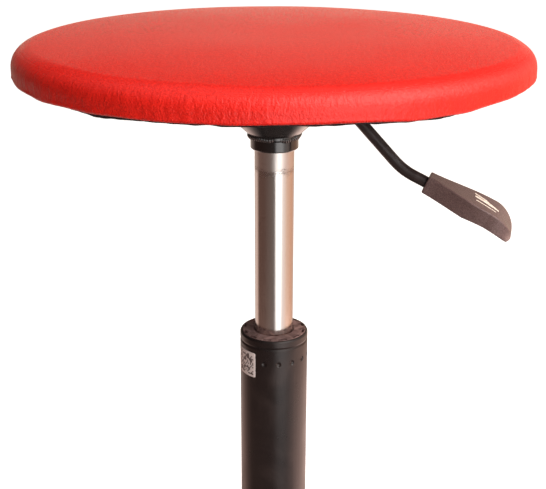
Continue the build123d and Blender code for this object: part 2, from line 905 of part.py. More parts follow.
grip_ring = ring(stem_radius - 0.8, socket_bore, ring_height, ring_height + 1.5)

with BuildPart() as caster_stems:
    with PolarLocations(caster_circle_radius, leg_count, start_angle=first_leg_heading):
        add(caster_stem.part)
save(caster_stems, "caster_stems")

with BuildPart() as stem_grip_rings:
    with PolarLocations(caster_circle_radius, leg_count, start_angle=first_leg_heading):
        add(grip_ring.part)
save(stem_grip_rings, "stem_grip_rings")

wheel_radius = wheel_diameter / 2
well_radius = wheel_radius + fender_gap
fender_radius = well_radius + fender_wall
half_web = web_thickness / 2
half_hood = half_web + wheel_gap + wheel_width
axle_plane = Plane(origin=(-caster_trail, 0, wheel_radius), x_dir=(1, 0, 0), z_dir=(0, -1, 0))
hood_tilt = 12.0
boss_radius = 10.0

with BuildPart() as caster_hood:
    with BuildSketch(axle_plane):
        Circle(fender_radius)
        with Locations(Location((0, 0), -hood_tilt)):
            Rectangle(
                3 * fender_radius,
                2 * fender_radius,
                align=(Align.CENTER, Align.MAX),
                mode=Mode.SUBTRACT,
            )
    extrude(amount=half_hood, both=True)
    with BuildSketch(Plane.XY.offset(wheel_radius + 15)):
        Circle(boss_radius)
    extrude(amount=hood_top - wheel_radius - 15)
    for side in (-1, 1):
        with BuildSketch(axle_plane.offset(side * half_web)):
            Circle(well_radius)
        extrude(amount=side * half_hood, mode=Mode.SUBTRACT)
    with BuildSketch(axle_plane):
        Circle(8)
    extrude(amount=half_web, both=True)
    with BuildSketch(axle_plane):
        Circle(axle_diameter / 2 + running_fit)
    extrude(amount=half_web, both=True, mode=Mode.SUBTRACT)
    with BuildSketch(Plane.XY.offset(stem_bottom - 1)):
        Circle(stem_neck_diameter / 2 + running_fit)
    extrude(amount=hood_top - stem_bottom + 1, mode=Mode.SUBTRACT)

axle_depth = 12.0
half_axle = half_web + wheel_gap + axle_depth
with BuildPart() as caster_axle:
    with BuildSketch(axle_plane):
        Circle(axle_diameter / 2)
    extrude(amount=half_axle, both=True)

hub_face = 1.0
with BuildPart() as wheel_blank:
    with BuildSketch(Plane.XZ):
        with BuildLine():
            Polyline(
                (0, axle_depth),
                (axle_diameter / 2, axle_depth),
                (axle_diameter / 2, 0),
                (9, 0),
                (9, 2),
                (wheel_radius - 5, 2),
                (wheel_radius - 5, 0),
                (wheel_radius - 2, 0),
                (wheel_radius, 2.5),
                (wheel_radius, wheel_width - 3.5),
                (wheel_radius - 1, wheel_width - 1.2),
                (wheel_radius - 3, wheel_width),
                (wheel_radius - 5, wheel_width),
                (wheel_radius - 6, wheel_width - 2.5),
                (10, wheel_width - 2.5),
                (9, wheel_width - hub_face),
                (0, wheel_width - hub_face),
                close=True,
            )
        make_face()
    revolve(axis=Axis.Z)

leg_headings = [first_leg_heading + 360 / leg_count * number for number in range(leg_count)]
for number, (leg_heading, heading) in enumerate(zip(leg_headings, caster_headings), 1):
    leg_turn = math.radians(leg_heading)
    foot = Vector(math.cos(leg_turn), math.sin(leg_turn), 0) * caster_circle_radius
    caster_place = Location(foot, (0, 0, heading))
    with BuildPart() as placed_hood:
        with Locations(caster_place):
            add(caster_hood.part)
    save(placed_hood, f"caster_hood_{number}")
    with BuildPart() as placed_axle:
        with Locations(caster_place):
            add(caster_axle.part)
    save(placed_axle, f"caster_axle_{number}")
    for side, name in ((1, "right"), (-1, "left")):
        wheel_face = axle_plane.offset(side * (half_web + wheel_gap))
        wheel_plane = Plane(
            origin=wheel_face.origin, x_dir=(1, 0, 0), z_dir=(0, -side, 0)
        )
        with BuildPart() as placed_wheel:
            with Locations(caster_place * wheel_plane.location):
                add(wheel_blank.part)
        save(placed_wheel, f"caster_wheel_{name}_{number}")
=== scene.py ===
import math

import bpy
from mathutils import Matrix, Vector, noise
from mathutils.bvhtree import BVHTree


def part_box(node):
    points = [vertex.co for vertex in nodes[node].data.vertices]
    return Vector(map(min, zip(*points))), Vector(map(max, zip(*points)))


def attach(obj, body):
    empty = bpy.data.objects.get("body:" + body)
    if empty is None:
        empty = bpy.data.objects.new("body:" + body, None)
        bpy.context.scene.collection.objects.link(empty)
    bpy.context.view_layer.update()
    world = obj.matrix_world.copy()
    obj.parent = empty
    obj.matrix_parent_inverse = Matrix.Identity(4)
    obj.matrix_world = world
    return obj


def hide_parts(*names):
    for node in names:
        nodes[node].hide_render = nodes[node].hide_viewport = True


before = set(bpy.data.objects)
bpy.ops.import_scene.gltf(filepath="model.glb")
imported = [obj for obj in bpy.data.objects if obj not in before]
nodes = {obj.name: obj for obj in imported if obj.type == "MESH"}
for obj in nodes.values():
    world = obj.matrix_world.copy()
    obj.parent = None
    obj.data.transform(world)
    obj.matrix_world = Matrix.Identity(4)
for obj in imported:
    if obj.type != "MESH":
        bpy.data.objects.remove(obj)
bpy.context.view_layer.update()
MM = 0.001

# ---------------------------------------------------------------- places read from the frame
pad_low, pad_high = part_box("seat_cover")
dust_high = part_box("dust_cover")[1]
staple_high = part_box("staples")[1]
plate_low, plate_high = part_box("seat_plate")
socket_low, socket_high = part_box("taper_socket")
cylinder_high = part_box("inner_cylinder")[1]
tube_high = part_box("outer_tube")[1]
handle_low, handle_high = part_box("lever_handle")
pad_radius = pad_high.x
cylinder_radius = cylinder_high.x
tube_radius = tube_high.x
staple_count = 24
staple_circle = staple_high.x - 0.3 * MM

# ---------------------------------------------------------------- the camera's place
view_azimuth = math.radians(13.965)
view_drop = math.radians(19.76)
view_roll = math.radians(0.15)
lens_length = 72.53  # in mm, for the sensor's width below
sensor_width = 36.0
camera_place = Vector((0.18001, -0.72735, 0.6945))
camera_heading = math.atan2(camera_place.y, camera_place.x)


def add_camera():
    """A camera in front of the seat, a little to its right, that looks down at it."""
    back = Vector(
        (
            math.sin(view_azimuth) * math.cos(view_drop),
            -math.cos(view_azimuth) * math.cos(view_drop),
            math.sin(view_drop),
        )
    )
    right = Vector((math.cos(view_azimuth), math.sin(view_azimuth), 0))
    up = back.cross(right)
    turned_right = right * math.cos(view_roll) + up * math.sin(view_roll)
    turned_up = up * math.cos(view_roll) - right * math.sin(view_roll)
    turn = Matrix((turned_right, turned_up, back)).transposed().to_4x4()
    data = bpy.data.cameras.new("camera")
    data.lens = lens_length
    data.sensor_width = sensor_width
    camera = bpy.data.objects.new("camera", data)
    bpy.context.scene.collection.objects.link(camera)
    camera.matrix_world = Matrix.Translation(camera_place) @ turn
    bpy.context.scene.camera = camera


# ---------------------------------------------------------------- helpers for meshes
def mesh_object(name, vertices, faces, smooth=True):
    mesh = bpy.data.meshes.new(name)
    mesh.from_pydata(vertices, [], faces)
    mesh.validate()
    mesh.update()
    if smooth:
        mesh.shade_smooth()
    made = bpy.data.objects.new(name, mesh)
    bpy.context.scene.collection.objects.link(made)
    return made


def turned_mesh(name, rows, segments, place):
    """A closed mesh of rings. Row 0 and the last row shrink to one point each; place gives a point."""
    vertices = [place(rows[0], 0.0)]
    for row in rows[1:-1]:
        for step in range(segments):
            vertices.append(place(row, math.tau * step / segments))
    vertices.append(place(rows[-1], 0.0))
    faces = []
    last = len(vertices) - 1
    rings = len(rows) - 2
    for step in range(segments):
        after = (step + 1) % segments
        faces.append((0, 1 + step, 1 + after))
        for ring in range(rings - 1):
            first = 1 + ring * segments
            below = first + segments
            faces.append((first + step, below + step, below + after, first + after))
        bottom = 1 + (rings - 1) * segments
        faces.append((last, bottom + after, bottom + step))
    return mesh_object(name, vertices, faces)


def ring_mesh(name, around, across, place):
    """A closed tube bent into a ring: place(turn, side) gives each point, both from 0 to 1."""
    vertices = [
        place(step / around, side / across) for step in range(around) for side in range(across)
    ]
    faces = []
    for step in range(around):
        for side in range(across):
            here = step * across
            there = (step + 1) % around * across
            beside = (side + 1) % across
            faces.append((here + side, there + side, there + beside, here + beside))
    return mesh_object(name, vertices, faces)


def wave(turn, height, size, seed):
    """Smooth noise on a cylinder, which closes on itself: about -1 to 1."""
    spot = Vector((math.cos(turn) * size, math.sin(turn) * size, height + seed))
    return noise.noise(spot)


def smooth_step(value, low, high):
    """0 below low, 1 above high, and a smooth rise between them."""
    share = min(1.0, max(0.0, (value - low) / (high - low)))
    return share * share * (3 - 2 * share)


def bells(table, turn):
    """Sum at a heading of smooth bells, each given by its heading and spread in degrees and its height."""
    total = 0.0
    for heading, spread, height in table:
        apart = (math.degrees(turn) - heading + 180) % 360 - 180
        total += height * math.exp(-((apart / spread) ** 2))
    return total


# ---------------------------------------------------------------- helpers for materials
def srgb(red, green, blue):
    """A display colour, 0 to 255 each, as the linear colour that shaders take."""

    def linear(value):
        share = value / 255
        return share / 12.92 if share <= 0.04045 else ((share + 0.055) / 1.055) ** 2.4

    return (linear(red), linear(green), linear(blue), 1.0)


def shade(color, factor, lift=0.0):
    """A linear colour made darker or lighter by a factor, with a little grey added."""
    return tuple(min(1.0, factor * part + lift) for part in color[:3]) + (1.0,)


class Nodes:
    """Short calls for building a node tree. A value is a plain one or the socket that it comes from."""

    def __init__(self, tree):
        self.tree = tree

    def node(self, kind, **settings):
        made = self.tree.nodes.new(kind)
        for key, value in settings.items():
            setattr(made, key, value)
        return made

    def feed(self, socket, value):
        if isinstance(value, bpy.types.NodeSocket):
            self.tree.links.new(value, socket)
        else:
            socket.default_value = value

    def parts(self, vector):
        """The X, Y and Z sockets of a vector."""
        made = self.node("ShaderNodeSeparateXYZ")
        self.feed(made.inputs["Vector"], vector)
        return made.outputs

    def math(self, operation, first, second=0.0):
        made = self.node("ShaderNodeMath", operation=operation)
        self.feed(made.inputs[0], first)
        self.feed(made.inputs[1], second)
        return made.outputs[0]

    def times(self, first, second):
        return self.math("MULTIPLY", first, second)

    def plus(self, first, second):
        return self.math("ADD", first, second)

    def minus(self, first, second):
        return self.math("SUBTRACT", first, second)

    def spread(self, value, low, high, new_low=0.0, new_high=1.0):
        """Takes the range from low to high smoothly to a new range."""
        made = self.node("ShaderNodeMapRange", interpolation_type="SMOOTHSTEP")
        self.feed(made.inputs["Value"], value)
        limits = {"From Min": low, "From Max": high, "To Min": new_low, "To Max": new_high}
        for key, number in limits.items():
            made.inputs[key].default_value = number
        return made.outputs["Result"]

    def mix(self, share, first, second):
        made = self.node("ShaderNodeMix", data_type="RGBA")
        self.feed(made.inputs[0], share)
        self.feed(made.inputs[6], first)
        self.feed(made.inputs[7], second)
        return made.outputs[2]


class Shader(Nodes):
    """A material, with short calls for the textures that finishes are made of."""

    def __init__(self, name, color, roughness, metallic=0.0, **sockets):
        self.material = bpy.data.materials.new(name)
        self.material.use_nodes = True
        super().__init__(self.material.node_tree)
        self.bsdf = self.tree.nodes["Principled BSDF"]
        self.set("Base Color", color)
        self.set("Roughness", roughness)
        self.set("Metallic", metallic)
        for key, value in sockets.items():
            self.set(key.replace("_", " "), value)
        self.place = self.node("ShaderNodeTexCoord").outputs["Object"]

    def set(self, key, value):
        self.feed(self.bsdf.inputs[key], value)

    def scaled(self, x, y, z, source=None):
        made = self.node("ShaderNodeMapping")
        made.inputs["Scale"].default_value = (x, y, z)
        self.feed(made.inputs["Vector"], source or self.place)
        return made.outputs["Vector"]

    def around(self, radius):
        """Object place unrolled from a cylinder about Z: arc length and height."""
        x, y, z = self.parts(self.place)
        arc = self.times(self.math("ARCTAN2", y, x), radius)
        made = self.node("ShaderNodeCombineXYZ")
        for socket, value in zip(made.inputs, (arc, z, 0.0)):
            self.feed(socket, value)
        return made.outputs["Vector"]

    def height(self):
        return self.parts(self.place)["Z"]

    def noise(self, scale, detail=3.0, vector=None, distortion=0.0, roughness=0.5):
        made = self.node("ShaderNodeTexNoise")
        made.inputs["Scale"].default_value = scale
        made.inputs["Detail"].default_value = detail
        made.inputs["Roughness"].default_value = roughness
        made.inputs["Distortion"].default_value = distortion
        self.feed(made.inputs["Vector"], vector or self.place)
        return made.outputs["Fac"]

    def cells(self, scale, vector=None):
        """Distance to the nearest of many scattered points."""
        made = self.node("ShaderNodeTexVoronoi", feature="F1")
        made.inputs["Scale"].default_value = scale
        self.feed(made.inputs["Vector"], vector or self.place)
        return made.outputs["Distance"]

    def bump(self, height, strength, distance, under=None):
        made = self.node("ShaderNodeBump")
        made.inputs["Strength"].default_value = strength
        made.inputs["Distance"].default_value = distance
        self.feed(made.inputs["Height"], height)
        if under is not None:
            self.feed(made.inputs["Normal"], under)
        return made.outputs["Normal"]


# ---------------------------------------------------------------- materials
def red_vinyl():
    """Embossed red vinyl: fine pebbles, upright tension folds down the side, a few pale specks, and painted
    shade in the hollows of the folds and the grooves between the pebbles.
    """
    shader = Shader("red_vinyl", srgb(232, 34, 22), 0.42, Specular_IOR_Level=0.4)
    unrolled = shader.around(pad_radius)
    side_starts = pad_high.z - 5 * MM
    side_full = pad_high.z - 11 * MM
    side = shader.spread(shader.height(), side_starts, side_full)
    stretched = shader.scaled(300.0, 120.0, 1.0, unrolled)
    folds = shader.noise(1.0, 2.0, vector=stretched, distortion=1.2)
    stretched_finer = shader.scaled(700.0, 300.0, 1.0, unrolled)
    ticks = shader.noise(1.0, 3.0, vector=stretched_finer, distortion=0.6)
    drawn = shader.plus(folds, shader.times(ticks, 0.4))
    fold_shade = shader.times(shader.spread(drawn, 0.78, 0.6), side)
    tone = shader.noise(7.0, 3.0)
    mottled = shader.mix(shader.spread(tone, 0.3, 0.7), srgb(233, 33, 20), srgb(239, 37, 24))
    hide = shader.noise(560.0, 3.0, distortion=0.8)
    lit = shader.math("MAXIMUM", shader.spread(hide, 0.38, 0.6), shader.times(side, 0.6))
    grained = shader.mix(lit, srgb(212, 26, 16), mottled)
    pebbles = shader.cells(1150.0, vector=shader.scaled(1.0, 1.0, 0.8))
    groove = shader.spread(pebbles, 0.25, 0.8)
    # painted shade: darker red in the hollows of the folds down the side
    fold_shaded = shader.mix(shader.times(fold_shade, 0.36), grained, srgb(202, 20, 12))
    # painted shade: darker red in the grooves between the pebbles
    groove_shaded = shader.mix(shader.times(groove, 0.5), fold_shaded, srgb(212, 24, 15))
    specks = shader.spread(shader.cells(40.0), 0.012, 0.024, 0.25, 0.0)
    shader.set("Base Color", shader.mix(specks, groove_shaded, srgb(246, 180, 168)))
    creased = shader.bump(shader.times(drawn, side), 0.6, 0.75 * MM)
    skin = shader.bump(hide, 0.8, 0.4 * MM, creased)
    shader.set("Normal", shader.bump(shader.minus(1.0, groove), 0.35, 0.14 * MM, skin))
    shader.set("Roughness", shader.spread(side, 0.0, 1.0, 0.25, 0.4))
    return shader.material


def dust_cloth_finish():
    """Black spunbonded cloth: loose fibres and a grid of bonding dots pressed into it."""
    shader = Shader("black_cloth", srgb(26, 22, 22), 0.92, Sheen_Weight=0.25, Sheen_Roughness=0.5)
    fibres = shader.noise(1500.0, 4.0, distortion=1.5)
    raised = shader.spread(fibres, 0.35, 0.65)
    shader.set("Base Color", shader.mix(raised, srgb(16, 13, 13), srgb(44, 38, 37)))
    dots = shader.cells(560.0, vector=shader.scaled(1.0, 1.0, 0.0))
    pressed = shader.bump(shader.spread(dots, 0.1, 0.35), 0.5, 0.2 * MM)
    shader.set("Normal", shader.bump(fibres, 0.5, 0.2 * MM, pressed))
    return shader.material


def black_paint_finish(name, color, roughness, coat=0.0):
    """Painted or powder coated black steel with orange peel and dusty smears."""
    shader = Shader(name, color, roughness, Coat_Weight=coat, Coat_Roughness=0.15)
    dust = shader.noise(60.0, 5.0, distortion=0.8)
    dusty = shade(color, 1.8, lift=0.006)
    shader.set("Base Color", shader.mix(shader.spread(dust, 0.5, 0.75, 0.0, 0.7), color, dusty))
    shader.set("Roughness", shader.spread(dust, 0.3, 0.75, roughness * 0.85, roughness * 1.3))
    peel = shader.noise(520.0, 2.0)
    shader.set("Normal", shader.bump(peel, 0.3, 0.12 * MM))
    return shader.material


def column_black():
    """Satin powder coat on the column, a little brown, with fine draw lines along it."""
    shader = Shader("column_black", srgb(40, 33, 32), 0.4)
    drawn = shader.scaled(900.0, 9.0, 1.0, shader.around(tube_radius))
    lines = shader.noise(1.0, 3.0, vector=drawn)
    smears = shader.noise(34.0, 5.0, distortion=1.0)
    tone = shader.mix(shader.spread(smears, 0.35, 0.75), srgb(30, 22, 21), srgb(46, 36, 34))
    shader.set("Base Color", tone)
    shader.set("Roughness", shader.spread(smears, 0.3, 0.8, 0.27, 0.37))
    peel = shader.bump(shader.noise(700.0, 2.0), 0.22, 0.08 * MM)
    shader.set("Normal", shader.bump(lines, 0.12, 0.05 * MM, peel))
    return shader.material


def chrome_tube():
    """Ground and plated gas spring tube: polished where the bush runs, hazy above a scuffed ring."""
    plated = srgb(226, 219, 214)
    shader = Shader("chrome_tube", plated, 0.12, metallic=1.0)
    unrolled = shader.around(cylinder_radius)
    height = shader.height()
    scuff_height = socket_low.z - 14.5 * MM
    wobble = shader.times(shader.minus(shader.noise(90.0, 3.0), 0.5), 10 * MM)
    offset = shader.math("ABSOLUTE", shader.minus(shader.plus(height, wobble), scuff_height))
    ring = shader.spread(offset, 0.8 * MM, 3.4 * MM, 1.0, 0.0)
    rubbed = shader.scaled(420.0, 1500.0, 1.0, unrolled)
    scratches = shader.noise(1.0, 5.0, vector=rubbed, distortion=2.0)
    worn = shader.times(ring, shader.spread(scratches, 0.48, 0.6))
    above = shader.spread(height, scuff_height - 2 * MM, scuff_height + 3 * MM)
    brushed = shader.noise(1.0, 4.0, vector=shader.scaled(1600.0, 60.0, 1.0, unrolled))
    haze = shader.times(above, 0.22)
    polish = shader.plus(haze, shader.spread(brushed, 0.3, 0.7, 0.13, 0.2))
    shader.set("Roughness", shader.plus(polish, shader.times(worn, 0.3)))
    stain = shader.spread(shader.noise(140.0, 5.0, distortion=1.2), 0.62, 0.74)
    stained = shader.mix(shader.times(stain, 0.25), plated, srgb(170, 156, 148))
    shader.set("Base Color", shader.mix(shader.times(worn, 0.8), stained, srgb(120, 104, 98)))
    lines = shader.bump(brushed, 0.05, 0.02 * MM)
    shader.set("Normal", shader.bump(scratches, 0.25, 0.05 * MM, lines))
    return shader.material


def bright_metal(name, color, roughness):
    """Turned or plated steel and aluminium, with tool lines and a little staining."""
    shader = Shader(name, color, roughness, metallic=1.0)
    stain = shader.noise(170.0, 4.0, distortion=0.6)
    stained = shader.spread(stain, 0.45, 0.75, 0.0, 0.8)
    shader.set("Base Color", shader.mix(stained, color, shade(color, 0.72)))
    shader.set("Roughness", shader.spread(stain, 0.3, 0.75, roughness * 0.8, roughness * 1.4))
    rings = shader.noise(1.0, 2.0, vector=shader.scaled(40.0, 40.0, 2600.0))
    shader.set("Normal", shader.bump(rings, 0.15, 0.05 * MM))
    return shader.material


def zinc_finish():
    """Zinc plated fasteners: blue-grey and yellow passivation patches with a crystalline grain."""
    shader = Shader("zinc_steel", srgb(188, 188, 184), 0.32, metallic=1.0)
    patches = shader.noise(220.0, 4.0, distortion=1.0)
    yellowed = shader.spread(patches, 0.35, 0.7)
    shader.set("Base Color", shader.mix(yellowed, srgb(196, 200, 204), srgb(176, 166, 140)))
    crystals = shader.cells(900.0)
    shader.set("Roughness", shader.spread(crystals, 0.1, 0.6, 0.24, 0.42))
    shader.set("Normal", shader.bump(crystals, 0.12, 0.06 * MM))
    return shader.material


def moulded(name, color, roughness, grain=900.0, strength=0.35, lighter=1.5, pit_shade=0.0):
    """Moulded nylon or polypropylene: spark-eroded grain, faint flow marks and rubbed high spots, with
    optional painted shade darkening the pits of the grain.
    """
    shader = Shader(name, color, roughness)
    flow = shader.noise(24.0, 3.0, distortion=1.6)
    rubbed = shade(color, lighter, lift=0.004)
    tone = shader.mix(shader.spread(flow, 0.4, 0.75, 0.0, 0.8), color, rubbed)
    pits = shader.noise(grain, 3.0, roughness=0.65)
    if pit_shade:
        # painted shade: the pits of the grain darkened
        tone = shader.mix(shader.spread(pits, 0.4, 0.6, pit_shade, 0.0), tone, shade(color, 0.3))
    shader.set("Base Color", tone)
    shader.set("Roughness", shader.spread(flow, 0.3, 0.75, roughness * 0.88, roughness * 1.12))
    shader.set("Normal", shader.bump(pits, strength, 0.14 * MM))
    return shader.material


def bush_finish():
    """The bush's sanded face: pale pinkish grey, lighter in patches and on the high points of its grit."""
    shader = Shader("bush_plastic", srgb(76, 58, 56), 0.62)
    grit = shader.noise(1400.0, 4.0, roughness=0.7)
    dust = shader.noise(120.0, 4.0, distortion=0.8)
    tone = shader.mix(shader.spread(dust, 0.35, 0.7), srgb(104, 80, 78), srgb(166, 136, 132))
    grit_tops = shader.spread(grit, 0.55, 0.7, 0.0, 0.5)
    # paler where the grit stands highest
    shader.set("Base Color", shader.mix(grit_tops, tone, srgb(150, 126, 120)))
    shader.set("Normal", shader.bump(grit, 0.6, 0.25 * MM))
    return shader.material


def plywood_finish():
    """Plywood with fibres along X and a dark glue line every 3 mm of height."""
    ply_wave = 2094.0  # radians in a metre
    shader = Shader("plywood", srgb(196, 158, 112), 0.68)
    plies = shader.math("SINE", shader.times(shader.height(), ply_wave))
    fibre = shader.noise(1.0, 5.0, vector=shader.scaled(30.0, 420.0, 420.0), distortion=0.5)
    wood = shader.mix(shader.spread(fibre, 0.35, 0.7), srgb(206, 170, 124), srgb(160, 118, 76))
    glue = shader.spread(plies, 0.2, 0.5, 0.0, 0.35)
    shader.set("Base Color", shader.mix(glue, wood, srgb(120, 84, 52)))
    shader.set("Normal", shader.bump(fibre, 0.3, 0.2 * MM))
    return shader.material


def label_finish():
    """A white sticker with a generic block print inside a plain border. UVs are in cells of the print."""
    paper = srgb(238, 224, 220)
    shader = Shader("label_paper", paper, 0.42)
    uv = shader.node("ShaderNodeUVMap").outputs["UV"]
    cell = shader.node("ShaderNodeVectorMath", operation="FLOOR")
    shader.feed(cell.inputs[0], uv)
    toss = shader.node("ShaderNodeTexWhiteNoise", noise_dimensions="2D")
    shader.feed(toss.inputs["Vector"], cell.outputs[0])
    inked = shader.math("GREATER_THAN", toss.outputs["Value"], 0.5)
    inside = 1.0
    for value, limit in zip(shader.parts(uv), (label_columns, label_rows)):
        after = shader.math("GREATER_THAN", value, 0.0)
        before = shader.math("LESS_THAN", value, float(limit))
        inside = shader.times(inside, shader.times(after, before))
    ink = shader.times(inked, inside)
    fade = shader.spread(shader.noise(500.0, 3.0), 0.3, 0.7, 0.75, 1.0)
    shader.set("Base Color", shader.mix(shader.times(ink, fade), paper, srgb(62, 44, 40)))
    shader.set("Normal", shader.bump(shader.noise(900.0, 2.0), 0.1, 0.05 * MM))
    return shader.material


def white_print():
    """White pad print on plastic, worn through in spots."""
    ink = srgb(240, 228, 214)
    shader = Shader("white_print", ink, 0.5)
    wear = shader.noise(900.0, 3.0)
    worn = shader.spread(wear, 0.58, 0.72, 0.0, 0.6)
    shader.set("Base Color", shader.mix(worn, ink, srgb(120, 100, 92)))
    shader.set("Normal", shader.bump(wear, 0.2, 0.05 * MM))
    return shader.material


def foam_finish():
    """Yellowish open foam, with painted shade darkening its pores."""
    shader = Shader("foam", srgb(222, 206, 160), 0.9)
    pores = shader.cells(700.0)
    walls = shader.spread(pores, 0.1, 0.5)
    # painted shade: darker in the pores, paler on the walls between them
    shader.set("Base Color", shader.mix(walls, srgb(176, 156, 108), srgb(228, 212, 168)))
    shader.set("Normal", shader.bump(pores, 0.6, 0.4 * MM))
    return shader.material


def rubber_finish():
    """Black rubber with a pale bloom."""
    shader = Shader("black_rubber", srgb(30, 28, 28), 0.7)
    bloom = shader.noise(90.0, 4.0, distortion=0.6)
    shader.set("Base Color", shader.mix(shader.spread(bloom, 0.4, 0.75), srgb(26, 24, 24), srgb(52, 48, 46)))
    shader.set("Normal", shader.bump(shader.noise(1200.0, 2.0), 0.25, 0.1 * MM))
    return shader.material


def wheel_finish():
    """Caster wheels: moulded nylon whose tread has picked up dust and small scars."""
    shader = Shader("wheel_plastic", srgb(34, 31, 31), 0.48)
    dust = shader.noise(150.0, 5.0, distortion=0.9)
    tone = shader.mix(shader.spread(dust, 0.42, 0.72), srgb(30, 27, 27), srgb(92, 84, 78))
    shader.set("Base Color", tone)
    shader.set("Roughness", shader.spread(dust, 0.3, 0.75, 0.4, 0.66))
    shader.set("Normal", shader.bump(shader.noise(800.0, 3.0), 0.3, 0.12 * MM))
    return shader.material


def floor_finish():
    """White studio paper, lit up a little by itself so that it stays white."""
    shader = Shader("studio_floor", (0.96, 0.955, 0.95, 1.0), 0.7, Specular_IOR_Level=0.1)
    shader.set("Emission Color", (1.0, 0.99, 0.98, 1.0))
    shader.set("Emission Strength", 0.62)
    paper = shader.noise(60.0, 4.0)
    shader.set("Base Color", shader.mix(paper, (0.955, 0.95, 0.945, 1.0), (0.975, 0.97, 0.965, 1.0)))
    return shader.material


# ---------------------------------------------------------------- seat pad
rim_height = 19.3 * MM
rim_across = 17.0 * MM
rim_down = 12.9 * MM
edge_rounding = 1.9 * MM
crown_slope = 84.0  # degrees up the rounding, from its outermost point, where the crown takes over
hem_width = 25.0 * MM
hem_thickness = 1.0 * MM
hem_inner = pad_radius - hem_width


def crown(radius):
    """Height of the pad's top over its rim's top at a radius."""
    share = 1 - (radius / (pad_radius - rim_across)) ** 3
    return (pad_high.z - pad_low.z - rim_height) * share


def pad_rows():
    """Half section of the pad from the middle of its top, round the side, to the middle underneath."""
    crown_steps, rounding_steps, side_steps, edge_steps, hem_steps = 22, 15, 6, 6, 10
    inner = pad_radius - rim_across
    centre = pad_low.z + rim_height - rim_down
    bottom = pad_low.z + edge_rounding
    reach = pad_radius - edge_rounding
    rows = [(0.0, pad_high.z)]
    for step in range(1, crown_steps + 1):
        radius = inner * (step / crown_steps)
        rows.append((radius, pad_low.z + rim_height + crown(radius)))
    for step in range(1, rounding_steps):
        angle = math.radians(crown_slope * (1 - step / rounding_steps))
        rows.append((inner + rim_across * math.cos(angle), centre + rim_down * math.sin(angle)))
    for step in range(side_steps + 1):
        rows.append((pad_radius, centre + (bottom - centre) * step / side_steps))
    for step in range(1, edge_steps + 1):
        angle = math.radians(-90 * step / edge_steps)
        rows.append((reach + edge_rounding * math.cos(angle), bottom + edge_rounding * math.sin(angle)))
    for step in range(1, hem_steps + 1):
        rows.append((reach - (reach - hem_inner) * step / hem_steps, pad_low.z))
    rows.append((hem_inner, pad_low.z + 0.6 * hem_thickness))
    rows.append((hem_inner - hem_thickness, pad_low.z + hem_thickness))
    rows.append((0.0, pad_low.z + hem_thickness))
    return rows


def tuck(turn):
    """Pull of the staples at a heading, 1 at a staple and 0 between two, uneven like hand work."""
    share = 0.5 + 0.5 * math.cos(turn * staple_count)
    return share * (0.65 + 0.5 * wave(turn, 0.3, 2.5, 5.0))


# where the hem was pulled lower: heading and spread in degrees, depth in mm
hem_sags = ((-131.0, 34.0, 1.7), (-68.0, 14.0, -0.6), (-43.0, 13.0, 1.3), (96.0, 30.0, 0.9))
bulge_heading = math.radians(-166.0)
bulge_reach = 1.0 * MM
fold_depth = 0.22 * MM
broad_depth = 0.5 * MM
staple_pull = 0.4 * MM
pleat_depth = 1.6 * MM
edge_pull = 0.5 * MM
foam_unevenness = 0.35 * MM


def pad_place(row, turn):
    """A point of the pad's skin, with its folds and pulls."""
    radius, height = row
    if radius < 1 * MM:
        return (0.0, 0.0, height)
    drop = pad_low.z + rim_height - height
    side = smooth_step(radius, pad_radius - 20 * MM, pad_radius - 4 * MM)
    low = smooth_step(drop, 4 * MM, 16 * MM)
    underneath = smooth_step(drop, 16.5 * MM, 18 * MM)
    # the side: small folds, broad unevenness, the pull of the staples and one bulge
    folds = wave(turn, height * 8, 19.0, 1.0) + 0.6 * wave(turn, height * 14, 43.0, 2.0)
    broad = wave(turn, height * 4, 4.2, 9.0)
    pulled = low * tuck(turn) * (1 - underneath)
    radius += side * (fold_depth * folds * (0.35 + low) + broad_depth * broad - staple_pull * pulled)
    radius += side * bulge_reach * max(0.0, math.cos(turn - bulge_heading)) ** 4
    # the hem: pulled lower in places, and pleated between the staples
    lowered = smooth_step(drop, 8 * MM, 18 * MM) * smooth_step(radius, hem_inner, hem_inner + 12 * MM)
    height -= lowered * bells(hem_sags, turn) * MM
    hem = underneath * smooth_step(pad_radius - radius, 0.5 * MM, 6 * MM)
    hem_starts = smooth_step(radius, hem_inner, hem_inner + 3 * MM)
    pleats = abs(wave(turn, radius * 16, 30.0, 7.0)) + 0.5 * abs(wave(turn, radius * 30, 64.0, 3.0))
    height -= hem * hem_starts * pleat_depth * pleats * (1.0 - 0.7 * tuck(turn))
    height += underneath * (1 - hem) * edge_pull * (tuck(turn) - 0.4 + wave(turn, 0.0, 7.0, 11.0))
    # the top: slightly uneven foam
    top = 1 - smooth_step(drop, -1 * MM, 3 * MM)
    spot = Vector((radius * math.cos(turn) * 14, radius * math.sin(turn) * 14, 4.0))
    height += top * foam_unevenness * noise.noise(spot)
    return (radius * math.cos(turn), radius * math.sin(turn), height)


def add_seat_pad():
    segments = 840
    pad = turned_mesh("seat_pad", pad_rows(), segments, pad_place)
    pad.data.materials.append(red_vinyl())
    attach(pad, "seat")
    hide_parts("seat_cover", "seat_foam")


# ---------------------------------------------------------------- dust cover
cloth_edge = 1.5 * MM  # loose and ragged outside the CAD's cloth
cloth_radius = dust_high.x + cloth_edge
cloth_thickness = 0.4 * MM
cloth_under_hem = 1.9 * MM
raggedness = 0.5 * MM
belly_depth = 0.5 * MM  # of the cloth between two staples
belly_width = 6.0 * MM
# where the edge has come away and hangs: heading and spread in degrees, depth in mm
loose_stretches = ((-114.0, 8.0, 1.5), (-43.0, 8.0, 0.7), (64.0, 10.0, 2.4), (150.0, 8.0, 1.8))


